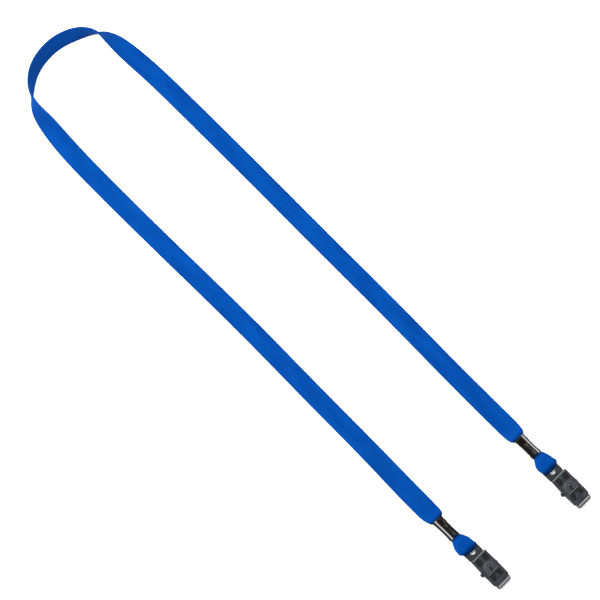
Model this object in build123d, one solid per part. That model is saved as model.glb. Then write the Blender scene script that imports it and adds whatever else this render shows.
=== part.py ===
from build123d import *
from math import asin, atan2, cos, degrees, radians, sin, tan
import os

# A neck lanyard with a bulldog clip on each end, laid flat in one long hairpin.
#
# Millimetres, +Z up from the surface it lies on, +Y from the clips towards the neck bend, and +X
# across the two legs. The origin is on that surface, in the middle of the box round the two clips
# and their crimps. Each clip is drawn in a frame of its own, which then lies tilted on its strap:
# x across, y towards the tail, z up, and the hinge pin's axis through its origin.

# --- Strap ---------------------------------------------------------------------------------------
STRAP_WIDTH = 12.5
STRAP_THICKNESS = 1.4
END_WIDEN = 1.0          # how much wider the strap lies just before it gathers into its crimp
WIDEN_LENGTH = 100       # stretch over which it widens so
GATHER_LENGTH = 10.5     # stretch over which the flat strap gathers to the crimp's bore
BORE_SHARE = (0.9, 0.8)  # of the bore's width and height that the gathered strap fills

# --- Crimp sleeve and the strap's end loop ----------------------------------------------------------
CRIMP_WIDTH = 7.5
CRIMP_HEIGHT = 5.2
CRIMP_LENGTH = 15.3
CRIMP_WALL = 0.5
LOOP_REACH = 8.7         # from the crimp's front rim to the rear end of the clip's tail
LOOP_WIDTH = 11.8
LOOP_HEIGHT = 5.9
LOOP_IN_SLOT = 3.0       # how far the loop's strands reach into the tail's slot
LOOP_CLEARANCE = 0.2     # between the cloth of the loop and the metal that it goes round

# --- Clip ------------------------------------------------------------------------------------------
BASE_WIDTH = 10.3
BASE_SHEET = 0.7
TAIL_REACH = 19.2        # from the hinge pin to the rear end of the tail
TAIL_WIDTH = 11.0        # behind the lever, where the flanges don't pass
TAIL_SETBACK = 0.5       # from the lever's thumb end to the tail's wide part
FRONT_ARM = 13.4         # from the hinge pin to the front of the jaws
TAIL_CORNER = 1.6
TAIL_BAR = 1.9           # metal behind the slot, which the strap goes round
SLOT_LENGTH = 4.7
SLOT_WIDTH = 4.4
UNDER_BAR = 1.45         # gathered strap under the bar, which lifts the tail

LEVER_SHEET = 0.6
LEVER_REAR_ARM = 10.4    # from the hinge pin to the thumb end
LEVER_SLOPE = 3.5        # degrees, thumb end high, with the jaws closed
SIDE_CLEARANCE = 0.2     # between a lever flange and the edge of the base
FLANGE_END = 1.4         # depth of the side flanges at the thumb end
FLANGE_SHOULDER = 1.6    # from the round under the pin to the flange's rising rear edge
NOSE_LENGTH = 3.3
NOSE_STEP = 0.75         # how much narrower the nose is than the lever, each side
NOSE_DROP = 3.25         # height of the nose's front wall
NOSE_RAKE = 1.3          # how far the front wall leans forward
JAW_GAP = 0.1
TOOTH_COUNT = 4
TOOTH_DEPTH = 0.35

PIN_DIAMETER = 1.9
PIN_EAR_CLEARANCE = 0.02
PIN_LEVER_CLEARANCE = 0.06
PIN_HEAD_DIAMETER = 2.7
PIN_HEAD_LENGTH = 1.4
PIN_TAIL_DIAMETER = 2.4
PIN_TAIL_LENGTH = 0.4
PIN_END_PLAY = 0.1
EAR_WALL = 0.8
EAR_FOOT = 6.4
EAR_TOP_GAP = 0.35

SPRING_WIRE = 0.5
SPRING_TURNS = 4         # whole turns, before the last part turn to the upper leg
SPRING_PITCH = 0.62
SPRING_PIN_GAP = 0.25
SPRING_FLOOR_GAP = 0.7
SPRING_LEG = 6.0
SPRING_TOUCH = 0.05      # between a leg and the metal that it presses on

# --- Pressed pattern on the lever's top, from its thumb end ------------------------------------------
PRESS_DEPTH = 0.22
RIB_HEIGHT = 0.22
RIB_WIDTH = 0.4
THUMB_BEAD = 0.45        # radius of the rolled bead along the thumb end
REAR_PANEL = (1.5, 6.0)
REAR_PANEL_WIDTH = 8.6
WAIST = (1.5, 0.5)       # half width of the raised hourglass at its ends and in its middle
ARCH_RADII = (3.5, 2.45, 1.4)
ARCH_FOOT = 12.8
BEAD_AT = 13.2
BEAD_WIDTH = 8.0
FRONT_PANEL = (13.7, 18.5)
FRONT_PANEL_WIDTH = 8.3
WEDGE_APEX = 14.4
WEDGE_FOOT = 18.0
WEDGE_WIDTH = 4.0

# --- Worked out from the sizes above ----------------------------------------------------------------
PIN_RADIUS = PIN_DIAMETER / 2
EAR_RADIUS = PIN_RADIUS + EAR_WALL
COIL_RADIUS = PIN_RADIUS + SPRING_PIN_GAP + SPRING_WIRE / 2
PIN_HEIGHT = BASE_SHEET + SPRING_FLOOR_GAP + COIL_RADIUS + SPRING_WIRE / 2
LEVER_TOP = EAR_RADIUS + EAR_TOP_GAP + LEVER_SHEET
LEVER_WIDTH = BASE_WIDTH + 2 * (SIDE_CLEARANCE + LEVER_SHEET)
NOSE_WIDTH = LEVER_WIDTH - 2 * NOSE_STEP
BASE_NOSE_WIDTH = NOSE_WIDTH - 2 * (LEVER_SHEET + SIDE_CLEARANCE)
NOSE_START = FRONT_ARM - NOSE_LENGTH
NOSE_BOTTOM = LEVER_TOP - NOSE_DROP
BASE_TOP = BASE_SHEET - PIN_HEIGHT
CLIP_LENGTH = FRONT_ARM + TAIL_REACH
CLIP_TILT = degrees(asin(UNDER_BAR / CLIP_LENGTH))
LAID_LENGTH = CLIP_LENGTH * cos(radians(CLIP_TILT))
HALF_SPAN = (LAID_LENGTH + LOOP_REACH + CRIMP_LENGTH) / 2
TAIL_Y = LAID_LENGTH - HALF_SPAN
CRIMP_FRONT_Y = TAIL_Y + LOOP_REACH
MOUTH_Y = CRIMP_FRONT_Y + CRIMP_LENGTH
BORE_WIDTH = CRIMP_WIDTH - 2 * CRIMP_WALL
BORE_HEIGHT = CRIMP_HEIGHT - 2 * CRIMP_WALL

# The route of the strap's middle line, from the left crimp's mouth round the neck bend to the right
# one's: x, y and the twist in degrees. At 0 the strap lies flat, at 90 it stands on its outer edge,
# and past 90 its upper edge leans outwards.
LEFT_X = -35.8
RIGHT_X = 35.6
LEFT_CLIP_X = -34.4      # the clips lie a little off the line of their crimps
RIGHT_CLIP_X = 35.3
ROUTE = [
    (LEFT_X, MOUTH_Y, 0),
    (LEFT_X, 50, 0),
    (-34.5, 88, 0),
    (-34, 134, 0),
    (-32.5, 200, 0),
    (-33.2, 276, 0),
    (-33.1, 328, 3),
    (-32.4, 354, 14),
    (-30.8, 371.5, 31),
    (-29.2, 386.5, 66),
    (-23.3, 396.4, 101),
    (-13.6, 404.3, 112),
    (-1.5, 407.8, 118),
    (11.1, 407.5, 119),
    (22.9, 403.1, 115),
    (31.7, 396.4, 88),
    (36.4, 386.6, 41),
    (38.3, 370, 7),
    (39.5, 348, 2),
    (39.5, 320, 0),
    (39.1, 267, 0),
    (38.0, 200, 0),
    (37.4, 136, 0),
    (RIGHT_X, 74, 0),
    (RIGHT_X, MOUTH_Y, 0),
]
FLAT_STEP = 24           # between the strap's cross-sections where it lies flat
TWIST_STEP = 5           # and where it twists


def lying_height(twist, width=STRAP_WIDTH, thickness=STRAP_THICKNESS):
    """Height of the strap's middle line when its lower edge rests on the surface."""
    turn = radians(twist)
    return width / 2 * sin(turn) + thickness / 2 * abs(cos(turn))


def route_points():
    return [Vector(x, y, lying_height(twist)) for x, y, twist in ROUTE]


def fillet_radii(points):
    """The largest even arc at each corner: 0.45 of the shorter run over tan(half the turn)."""
    radii = []
    for before, corner, after in zip(points, points[1:], points[2:]):
        run_in = corner - before
        run_out = after - corner
        half_turn = radians(run_in.get_angle(run_out)) / 2
        radii.append(0.45 * min(run_in.length, run_out.length) / tan(half_turn))
    return radii


def strap_line():
    points = route_points()
    radii = fillet_radii(points)
    print("strap radii", [round(radius) for radius in radii])
    return FilletPolyline(*points, radius=radii)


def twist_at(share, shares):
    """Twist at a share of the strap's length, even between the route's points."""
    for (low, high), (start, end) in zip(
        zip(shares, shares[1:]), zip(ROUTE, ROUTE[1:])
    ):
        if share <= high:
            return start[2] + (end[2] - start[2]) * (share - low) / (high - low)
    return ROUTE[-1][2]


def strap_section(line, share, twist, width, thickness, height):
    """A rectangle across the strap, its width turned up from the surface by the twist."""
    place = line @ share
    along = line % share
    along = Vector(along.X, along.Y, 0).normalized()
    inward = Vector(along.Y, -along.X, 0)
    turn = radians(twist)
    across = inward * cos(turn) + Vector(0, 0, 1) * sin(turn)
    plane = Plane(origin=(place.X, place.Y, height), x_dir=across, z_dir=along)
    return plane * Rectangle(width, thickness)


def strap():
    """The flat strap from crimp to crimp, gathered to the crimps' bores at its ends."""
    line = strap_line()
    length = line.length
    points = route_points()
    walked = [0.0]
    for before, after in zip(points, points[1:]):
        walked.append(walked[-1] + (after - before).length)
    shares = [distance / walked[-1] for distance in walked]
    gathered = GATHER_LENGTH / length
    places = [0.0, gathered]
    for low, high, start, end in zip(shares, shares[1:], ROUTE, ROUTE[1:]):
        step = FLAT_STEP if start[2] == end[2] == 0 else TWIST_STEP
        pieces = max(1, round((high - low) * length / step))
        steps = [low + (high - low) * (i + 1) / pieces for i in range(pieces)]
        places += [share for share in steps if gathered < share < 1 - gathered]
    places += [1 - gathered, 1.0]
    sections = []
    for share in places:
        twist = twist_at(share, shares)
        from_end = min(share, 1 - share) * length
        if from_end < GATHER_LENGTH / 2:
            width = BORE_WIDTH * BORE_SHARE[0]
            thickness = BORE_HEIGHT * BORE_SHARE[1]
            sections.append(strap_section(line, share, 0, width, thickness, CRIMP_HEIGHT / 2))
            continue
        widen = max(0.0, END_WIDEN * (1 - from_end / WIDEN_LENGTH))
        width = STRAP_WIDTH + widen
        height = lying_height(twist, width)
        sections.append(strap_section(line, share, twist, width, STRAP_THICKNESS, height))
    solid = loft(sections, ruled=True)
    expected = STRAP_WIDTH * STRAP_THICKNESS * length
    print("strap length", round(length, 1), "volume share", round(solid.volume / expected, 3))
    return solid


def crimp(x):
    """A flattened tube pressed round the doubled strap."""
    outside = Ellipse(CRIMP_WIDTH / 2, CRIMP_HEIGHT / 2)
    bore = Ellipse(BORE_WIDTH / 2, BORE_HEIGHT / 2)
    mouth = Plane(origin=(x, MOUTH_Y, CRIMP_HEIGHT / 2), x_dir=(1, 0, 0), z_dir=(0, -1, 0))
    return extrude(mouth * (outside - bore), CRIMP_LENGTH)


def end_loop(x, clip_x, clip_place):
    """The strap's gathered end: two strands in the crimp and a puffed loop round the tail bar."""
    bore = Ellipse(BORE_WIDTH / 2, BORE_HEIGHT / 2)
    rim = Plane(origin=(x, CRIMP_FRONT_Y, CRIMP_HEIGHT / 2), x_dir=(1, 0, 0), z_dir=(0, -1, 0))
    strands = extrude(rim * bore, -CRIMP_LENGTH)
    reach = LOOP_REACH + TAIL_BAR + LOOP_IN_SLOT
    # share of the reach, width share, lowest and highest point as shares of the loop's height
    outline = [
        (0.20, 0.72, 0.04, 0.88),
        (0.42, 0.92, 0.01, 0.97),
        (0.64, 1.00, 0.01, 1.00),
        (0.82, 0.86, 0.01, 0.88),
        (1.00, 0.34, 0.08, 0.62),
    ]
    sections = [rim * bore]
    for share, across, low, high in outline:
        aside = x + (clip_x - x) * min(1.0, share * reach / LOOP_REACH)
        middle = LOOP_HEIGHT * (low + high) / 2
        origin = (aside, CRIMP_FRONT_Y - share * reach, middle)
        here = Plane(origin=origin, x_dir=(1, 0, 0), z_dir=(0, -1, 0))
        half_height = LOOP_HEIGHT * (high - low) / 2
        sections.append(here * Ellipse(LOOP_WIDTH / 2 * across, half_height))
    pillow = loft(sections)
    room = clip_place * tail_plate(LOOP_CLEARANCE)
    return strands + (pillow - room)


def tail_plate(grow=0.0):
    """The tail of the base with its slot, or the room that it takes with a clearance round it."""
    tail_length = TAIL_REACH - LEVER_REAR_ARM - TAIL_SETBACK
    centre_y = TAIL_REACH - tail_length / 2
    slot_y = TAIL_REACH - TAIL_BAR - SLOT_LENGTH / 2
    outline = Pos(0, centre_y) * RectangleRounded(
        TAIL_WIDTH + 2 * grow, tail_length + 2 * grow, TAIL_CORNER
    )
    slot = Pos(0, slot_y) * Rot(0, 0, 90) * SlotOverall(SLOT_LENGTH - 2 * grow, SLOT_WIDTH - 2 * grow)
    return Pos(0, 0, -PIN_HEIGHT - grow) * extrude(outline - slot, BASE_SHEET + 2 * grow)


def teeth(width, y, z, first):
    """Notches across a jaw's edge, to cut from it."""
    pitch = width / (TOOTH_COUNT + 0.5)
    cuts = []
    for i in range(TOOTH_COUNT):
        x = -width / 2 + (i + first) * pitch
        wedge = Polygon((-pitch / 4, 0), (pitch / 4, 0), (0, TOOTH_DEPTH), align=None)
        side = Plane(origin=(x, y, z), x_dir=(1, 0, 0), z_dir=(0, -1, 0))
        cuts.append(extrude(side * wedge, 2 * NOSE_RAKE + LEVER_SHEET, both=True))
    return cuts


def jaw_rest_height():
    """Height of the closed nose's lowest front edge in the clip's frame."""
    slope = radians(LEVER_SLOPE)
    return -FRONT_ARM * sin(slope) + NOSE_BOTTOM * cos(slope)


def clip_base():
    """Pressed lower jaw: plate with a slotted tail, two ears for the pin and a front lip."""
    plate_end = TAIL_REACH - TAIL_BAR - SLOT_LENGTH - TAIL_SETBACK
    body_length = FRONT_ARM + plate_end
    plate = Pos(0, (plate_end - FRONT_ARM) / 2) * Rectangle(BASE_NOSE_WIDTH, body_length)
    wide_length = plate_end + NOSE_START - 2 * SIDE_CLEARANCE
    plate += Pos(0, plate_end - wide_length / 2) * Rectangle(BASE_WIDTH, wide_length)
    base = Pos(0, 0, -PIN_HEIGHT) * extrude(plate, BASE_SHEET)
    base += tail_plate()
    ear = Circle(EAR_RADIUS) + Polygon(
        (-EAR_FOOT / 2, BASE_TOP - BASE_SHEET / 2),
        (EAR_FOOT / 2, BASE_TOP - BASE_SHEET / 2),
        (EAR_RADIUS, 0),
        (-EAR_RADIUS, 0),
        align=None,
    )
    ear -= Circle(PIN_RADIUS + PIN_EAR_CLEARANCE)
    for side in (-1, 1):
        base += Pos(side * (BASE_WIDTH - BASE_SHEET) / 2) * side_extrusion(ear, BASE_SHEET)
    lip_top = jaw_rest_height() - JAW_GAP
    lip_height = lip_top + PIN_HEIGHT
    lip = Pos(0, -FRONT_ARM + BASE_SHEET / 2, lip_top - lip_height / 2) * Box(
        BASE_NOSE_WIDTH, BASE_SHEET, lip_height
    )
    for notch in teeth(BASE_NOSE_WIDTH, -FRONT_ARM, lip_top, 0.5):
        lip -= mirror(notch, Plane.XY.offset(lip_top))
    return base + lip


def lever_outline():
    """The lever seen from above: straight sides, and a narrower nose behind cut shoulders."""
    half = LEVER_WIDTH / 2
    nose = NOSE_WIDTH / 2
    return Polygon(
        (-half, LEVER_REAR_ARM),
        (-half, -NOSE_START + NOSE_STEP),
        (-nose, -NOSE_START),
        (-nose, -FRONT_ARM),
        (nose, -FRONT_ARM),
        (nose, -NOSE_START),
        (half, -NOSE_START + NOSE_STEP),
        (half, LEVER_REAR_ARM),
        align=None,
    )


def lever_side():
    """The lever seen from the side: level top, raked front wall and flanges down round the pin."""
    corners = [
        (LEVER_REAR_ARM, LEVER_TOP),
        (LEVER_REAR_ARM, LEVER_TOP - FLANGE_END),
        (EAR_RADIUS + FLANGE_SHOULDER, -EAR_RADIUS * 0.6),
        (EAR_RADIUS * 0.6, -EAR_RADIUS),
        (-EAR_RADIUS * 0.6, -EAR_RADIUS),
        (-NOSE_START, NOSE_BOTTOM - SIDE_CLEARANCE),
        (-FRONT_ARM, NOSE_BOTTOM),
        (-FRONT_ARM + NOSE_RAKE, LEVER_TOP),
    ]
    return Polygon(*corners, align=None)


def hollow_side(bottom):
    """The hollow inside the lever seen from the side, open at the thumb end and below."""
    top = LEVER_TOP - LEVER_SHEET
    front = LEVER_SHEET - FRONT_ARM
    rear = LEVER_REAR_ARM + LEVER_SHEET
    front_at_bottom = front - NOSE_RAKE * (NOSE_BOTTOM - bottom) / NOSE_DROP
    corners = [(rear, top), (rear, bottom), (front_at_bottom, bottom), (front + NOSE_RAKE, top)]
    return Polygon(*corners, align=None)


def side_extrusion(profile, width):
    """A side view, y and z, made solid to both sides of the clip's middle."""
    return extrude(Plane.YZ * profile, width / 2, both=True)


def lever_shell():
    deep = -PIN_HEIGHT - 1
    outline = Pos(0, 0, deep) * extrude(lever_outline(), LEVER_TOP - deep)
    body = outline & side_extrusion(lever_side(), LEVER_WIDTH)
    crown = body.faces().sort_by(Axis.Z)[-1]
    body = fillet(crown.edges(), LEVER_SHEET / 2)
    inside = offset(lever_outline(), -LEVER_SHEET, kind=Kind.INTERSECTION)
    inside += Pos(0, LEVER_REAR_ARM) * Rectangle(LEVER_WIDTH - 2 * LEVER_SHEET, 4 * LEVER_SHEET)
    hollow = Pos(0, 0, deep) * extrude(inside, LEVER_TOP - deep)
    hollow &= side_extrusion(hollow_side(deep), LEVER_WIDTH)
    return body - hollow


def on_top(distance, rise=0.0):
    """A place on the middle of the lever's top, at a distance from its thumb end."""
    return Pos(0, LEVER_REAR_ARM - distance, LEVER_TOP + rise)


def pressed_panels():
    """The sunk panels of the pattern, to cut from the lever's top."""
    low, high = REAR_PANEL
    rear = Rectangle(REAR_PANEL_WIDTH, high - low)
    waist = Polygon(
        (-WAIST[0], (low - high) / 2),
        (WAIST[0], (low - high) / 2),
        (WAIST[1], 0),
        (WAIST[0], (high - low) / 2),
        (-WAIST[0], (high - low) / 2),
        (-WAIST[1], 0),
        align=None,
    )
    cuts = on_top((low + high) / 2, -PRESS_DEPTH) * extrude(rear - waist, 2 * PRESS_DEPTH)
    low, high = FRONT_PANEL
    front = Rectangle(FRONT_PANEL_WIDTH, high - low)
    middle = (low + high) / 2
    wedge = Polygon(
        (0, middle - WEDGE_APEX),
        (WEDGE_WIDTH / 2, middle - WEDGE_FOOT),
        (-WEDGE_WIDTH / 2, middle - WEDGE_FOOT),
        align=None,
    )
    return cuts + on_top(middle, -PRESS_DEPTH) * extrude(front - wedge, 2 * PRESS_DEPTH)


def raised_ribs():
    """The arched ribs, the bead in front of them and the rolled bead of the thumb end."""
    arch_middle = REAR_PANEL[1] + RIB_WIDTH + ARCH_RADII[0]
    leg = ARCH_FOOT - arch_middle
    ribs = on_top(BEAD_AT, -RIB_HEIGHT) * extrude(
        SlotOverall(BEAD_WIDTH, RIB_WIDTH), 2 * RIB_HEIGHT
    )
    for radius in ARCH_RADII:
        ring = Circle(radius) - Circle(radius - RIB_WIDTH)
        arch = ring & Pos(0, radius / 2) * Rectangle(2 * radius, radius)
        for side in (-1, 1):
            x = side * (radius - RIB_WIDTH / 2)
            arch += Pos(x, -leg / 2) * Rectangle(RIB_WIDTH, leg)
        ribs += on_top(arch_middle, -RIB_HEIGHT) * extrude(arch, 2 * RIB_HEIGHT)
    bead = Rot(0, 90, 0) * Cylinder(THUMB_BEAD, LEVER_WIDTH - 4 * THUMB_BEAD)
    return ribs + on_top(THUMB_BEAD, -THUMB_BEAD / 2) * bead


def clip_lever():
    """Pressed upper jaw and thumb lever, closed on the base."""
    lever = lever_shell() - pressed_panels() + raised_ribs()
    hole = Rot(0, 90, 0) * Cylinder(PIN_RADIUS + PIN_LEVER_CLEARANCE, 2 * LEVER_WIDTH)
    lever -= hole
    for notch in teeth(NOSE_WIDTH, -FRONT_ARM, NOSE_BOTTOM, 1.0):
        lever -= notch
    return Rot(LEVER_SLOPE, 0, 0) * lever


def hinge_pin():
    """Rivet with its head beyond the left flange and its spread tail beyond the right one."""
    outside = LEVER_WIDTH / 2 + PIN_END_PLAY
    along_x = Plane(origin=(-outside - PIN_HEAD_LENGTH, 0, 0), x_dir=(0, 1, 0), z_dir=(1, 0, 0))
    head = extrude(along_x * Circle(PIN_HEAD_DIAMETER / 2), PIN_HEAD_LENGTH)
    head = fillet(head.edges().group_by(Axis.X)[0], PIN_HEAD_DIAMETER / 8)
    shank = extrude(along_x * Circle(PIN_RADIUS), PIN_HEAD_LENGTH + 2 * outside + PIN_TAIL_LENGTH)
    at_tail = Plane(origin=(outside, 0, 0), x_dir=(0, 1, 0), z_dir=(1, 0, 0))
    tail = extrude(at_tail * Circle(PIN_TAIL_DIAMETER / 2), PIN_TAIL_LENGTH)
    tail = fillet(tail.edges().group_by(Axis.X)[-1], PIN_TAIL_LENGTH / 2)
    return head + shank + tail


def clip_spring():
    """Torsion spring round the pin, one leg down on the base and one up under the thumb lever."""
    wire = SPRING_WIRE / 2
    below = PIN_HEIGHT - BASE_SHEET - wire - SPRING_TOUCH - COIL_RADIUS
    lever_rise = SPRING_LEG * sin(radians(LEVER_SLOPE))
    above = LEVER_TOP - LEVER_SHEET + lever_rise - wire - SPRING_TOUCH - COIL_RADIUS
    low_angle = degrees(atan2(below, SPRING_LEG))
    high_angle = degrees(atan2(above, SPRING_LEG))
    turns = SPRING_TURNS + (180 - low_angle - high_angle) / 360
    height = turns * SPRING_PITCH
    helix = Helix(SPRING_PITCH, height, COIL_RADIUS)
    section = Plane(origin=helix @ 0, z_dir=helix % 0) * Circle(wire)
    spring = sweep(section, path=helix, is_frenet=True)
    for end, way in ((0, -1), (1, 1)):
        tip = helix @ end
        leg_way = helix % end * way
        spring += extrude(Plane(origin=tip, z_dir=leg_way) * Circle(wire), SPRING_LEG)
    stand = Plane(origin=(height / 2, 0, 0), x_dir=(0, 0, -1), z_dir=(-1, 0, 0))
    return Rot(-low_angle, 0, 0) * (stand * spring)


def clip_frame(x):
    """Where a clip's own frame lies: nose on the surface, tail up on its strap."""
    tilt = radians(CLIP_TILT)
    y = -HALF_SPAN + FRONT_ARM * cos(tilt) - PIN_HEIGHT * sin(tilt)
    z = FRONT_ARM * sin(tilt) + PIN_HEIGHT * cos(tilt)
    return Pos(x, y, z) * Rot(CLIP_TILT, 0, 0)


def main():
    os.makedirs("parts", exist_ok=True)
    nodes = {"strap": strap()}
    for side, x, clip_x in (("left", LEFT_X, LEFT_CLIP_X), ("right", RIGHT_X, RIGHT_CLIP_X)):
        place = clip_frame(clip_x)
        nodes[f"{side}_crimp"] = crimp(x)
        nodes[f"{side}_end_loop"] = end_loop(x, clip_x, place)
        nodes[f"{side}_clip_base"] = place * clip_base()
        nodes[f"{side}_clip_lever"] = place * clip_lever()
        nodes[f"{side}_hinge_pin"] = place * hinge_pin()
        nodes[f"{side}_clip_spring"] = place * clip_spring()
        bar = place * Pos(0, TAIL_REACH - TAIL_BAR / 2, BASE_TOP - BASE_SHEET / 2)
        print(side, "pin at", place.position, "tail bar at", bar.position)
    for name, solid in nodes.items():
        export_step(solid, f"parts/{name}.step")


main()
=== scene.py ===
from math import asin, atan2, ceil, cos, exp, hypot, pi, radians, sin

import bpy
from mathutils import Matrix, Vector


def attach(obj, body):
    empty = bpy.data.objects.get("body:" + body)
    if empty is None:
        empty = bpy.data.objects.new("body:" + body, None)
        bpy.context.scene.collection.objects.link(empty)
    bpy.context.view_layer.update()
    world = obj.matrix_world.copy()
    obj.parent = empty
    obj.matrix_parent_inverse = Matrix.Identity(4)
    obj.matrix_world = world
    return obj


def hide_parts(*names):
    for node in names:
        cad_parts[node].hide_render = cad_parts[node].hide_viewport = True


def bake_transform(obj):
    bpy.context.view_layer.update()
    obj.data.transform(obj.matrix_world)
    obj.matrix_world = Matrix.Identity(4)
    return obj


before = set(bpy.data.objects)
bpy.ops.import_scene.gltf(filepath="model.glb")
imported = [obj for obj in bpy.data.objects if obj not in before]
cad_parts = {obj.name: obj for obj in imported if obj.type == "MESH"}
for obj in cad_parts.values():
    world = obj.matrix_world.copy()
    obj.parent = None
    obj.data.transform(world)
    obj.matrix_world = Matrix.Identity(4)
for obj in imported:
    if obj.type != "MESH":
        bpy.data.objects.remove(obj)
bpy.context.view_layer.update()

# A neck lanyard with a bulldog clip on each end, laid in a hairpin. Metres, in the CAD's frame.
# Sizes that the CAD also has carry the same names as they have there.

MM = 0.001
PAINTED_SHADE = -0.8              # finish value that paints shade on the clips' flanges, corners and inner faces, between sunk at -1 and plain at 0

# --- Camera ---------------------------------------------------------------------------------------
CAMERA_TARGET = Vector((0.00225, 0.1840, 0))
CAMERA_DISTANCE = 2.0
CAMERA_LENS = 194.5
CAMERA_LEAN = 12         # degrees from straight above
LEAN_WAY = radians(225)  # towards -X and -Y

# --- Strap ----------------------------------------------------------------------------------------
STRAP_WIDTH = 12.5 * MM
STRAP_THICKNESS = 1.4 * MM
LEFT_X = -35.8 * MM
RIGHT_X = 35.6 * MM
MOUTH_Y = 28.284 * MM
# the route of the strap's middle line as in the CAD: x, y and the twist in degrees
ROUTE = [
    (LEFT_X, MOUTH_Y, 0),
    (LEFT_X, 0.050, 0),
    (-0.0345, 0.088, 0),
    (-0.0340, 0.134, 0),
    (-0.0325, 0.200, 0),
    (-0.0332, 0.276, 0),
    (-0.0331, 0.328, 3),
    (-0.0324, 0.354, 14),
    (-0.0308, 0.3715, 31),
    (-0.0292, 0.3865, 66),
    (-0.0233, 0.3964, 101),
    (-0.0136, 0.4043, 112),
    (-0.0015, 0.4078, 118),
    (0.0111, 0.4075, 119),
    (0.0229, 0.4031, 115),
    (0.0317, 0.3964, 88),
    (0.0364, 0.3866, 41),
    (0.0383, 0.370, 7),
    (0.0395, 0.348, 2),
    (0.0395, 0.320, 0),
    (0.0391, 0.267, 0),
    (0.0380, 0.200, 0),
    (0.0374, 0.136, 0),
    (RIGHT_X, 0.074, 0),
    (RIGHT_X, MOUTH_Y, 0),
]
STATION = 0.8 * MM       # between the ribbon's cross-sections
SHOULDER = 9 * MM        # stretch over which the strap narrows to its crimp
# how the strap narrows there: distance from the crimp's mouth and what is missing from its width
NARROWING = [(0, 4.6), (0.2, 3.7), (0.5, 3.1), (1, 2.5), (1.7, 1.9), (3, 1.2), (4, 0.8), (5, 0.5), (9, 0)]
# how much fuller the left and right legs lie near their crimps: most at a distance, over a spread
FULLER = (0.5 * MM, 0.2 * MM)
FULLEST_AT = 0.022
FULLER_SPREAD = 0.03
MOUTH_HEIGHT = 4.0 * MM
BORE_WIDTH = 6.0 * MM    # of the gathered strap inside its crimp
TUCKED = 3               # rings of the strap that go on inside its crimp, 1 mm apart
TUCK_START = 0.1         # mm from the mouth to the first of them
FLOOR_GAP = 0.05         # mm between the strap and the surface that it lies on

# The clips and crimps are drawn in millimetres, each clip in a frame of its own as in the CAD:
# x across, y towards the tail, z up, and the hinge pin's axis through its origin.
LEFT_CLIP_X = -34.4
RIGHT_CLIP_X = 35.3

# --- Crimps ---------------------------------------------------------------------------------------
CRIMP_WIDTH = 7.5
CRIMP_HEIGHT = 5.2
CRIMP_LENGTH = 15.3
CRIMP_WALL = 0.5
CRIMP_FRONT_Y = 12.984
CRIMP_STEP = 5.2         # from the strap's mouth to the pressed step
CRIMP_RIM = 0.3          # radius of the rolled rims
CRIMP_SQUARENESS = 2.5   # 2 would be an ellipse
CRIMP_ROUND = 64         # points round each ring
RIDGE_OFF = 33           # degrees from the top to the flat that the press leaves on the upper edge
RIDGE_DEPTH = 0.108      # of that flat, as a share of the radius

# --- Clips ----------------------------------------------------------------------------------------
PIN_HEIGHT = 3.1
FRONT_ARM = 13.4
TAIL_REACH = 19.2
UNDER_BAR = 1.45
HALF_SPAN = 28.284
CLIP_TILT = asin(UNDER_BAR / (FRONT_ARM + TAIL_REACH))
BASE_SHEET = 0.7
BASE_WIDTH = 10.3
BASE_NOSE_WIDTH = 8.8
BASE_STEP_Y = -10.0
TAIL_START = 10.9
TAIL_WIDTH = 11.0
TAIL_CORNER = 1.6
TAIL_BAR = 1.9
SLOT_LENGTH = 4.7
SLOT_WIDTH = 4.4
EAR_RADIUS = 1.75
EAR_FOOT = 6.4
PLATE_EDGE = 0.1         # rounding of the base's cut edges

LEVER_SHEET = 0.6
LEVER_REAR_ARM = 10.4
LEVER_TOP = 2.7
LEVER_SLOPE = radians(3.5)
LEVER_WIDTH = 11.9
LEVER_CORNER = 0.45
LEVER_STEP = 0.16        # between the rows of points along its top
FLANGE_POINTS = 7        # up each flange
CORNER_STEPS = 4         # round each upper corner
TOP_STEPS = 34           # from a corner to the middle
BEND_STEPS = 5           # round the front bend
WALL_STEPS = 12          # down the front wall
SHOULDER_BAND = (-0.85, 0.1)  # where the lever narrows to its nose, from NOSE_START
NOSE_WIDTH = 10.4
NOSE_START = 10.4
NOSE_DROP = 3.25
NOSE_RAKE = 1.3
NOSE_BEND = 0.5
TOOTH_COUNT = 4
TOOTH_DEPTH = 0.35
JAW_GAP = 0.1
# the bottom of the lever's side flanges: y and z
FLANGE = [(-13.4, -0.85), (-10.4, -0.8), (-1.2, -1.7), (-0.4, -1.78), (0.4, -1.78), (1.2, -1.6),
          (3.35, -1.05), (10.4, 1.3)]

PIN_RADIUS = 0.95
PIN_END = 6.05           # from the clip's middle to the inner face of the rivet's head
# the rivet's turned ends: distance out from that face and radius
RIVET_HEAD = [(1.4, 0.02), (1.4, 0.75), (1.34, 1.0), (1.2, 1.2), (0.95, 1.32), (0.6, 1.35), (0.06, 1.35),
              (0, 1.29)]
RIVET_TAIL = [(0, 1.14), (0.06, 1.2), (0.2, 1.2), (0.33, 1.08), (0.4, 0.85), (0.34, 0.4), (0.28, 0.02)]
SPRING_WIRE = 0.25       # radius
COIL_RADIUS = 1.45
SPRING_TURNS = 4
COIL_STEPS = 150
SPRING_PITCH = 0.62
SPRING_LEG = 6.0
SPRING_GAPS = (0.05, 0.1)  # from its lower leg to the base and from its upper one to the lever

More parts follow.
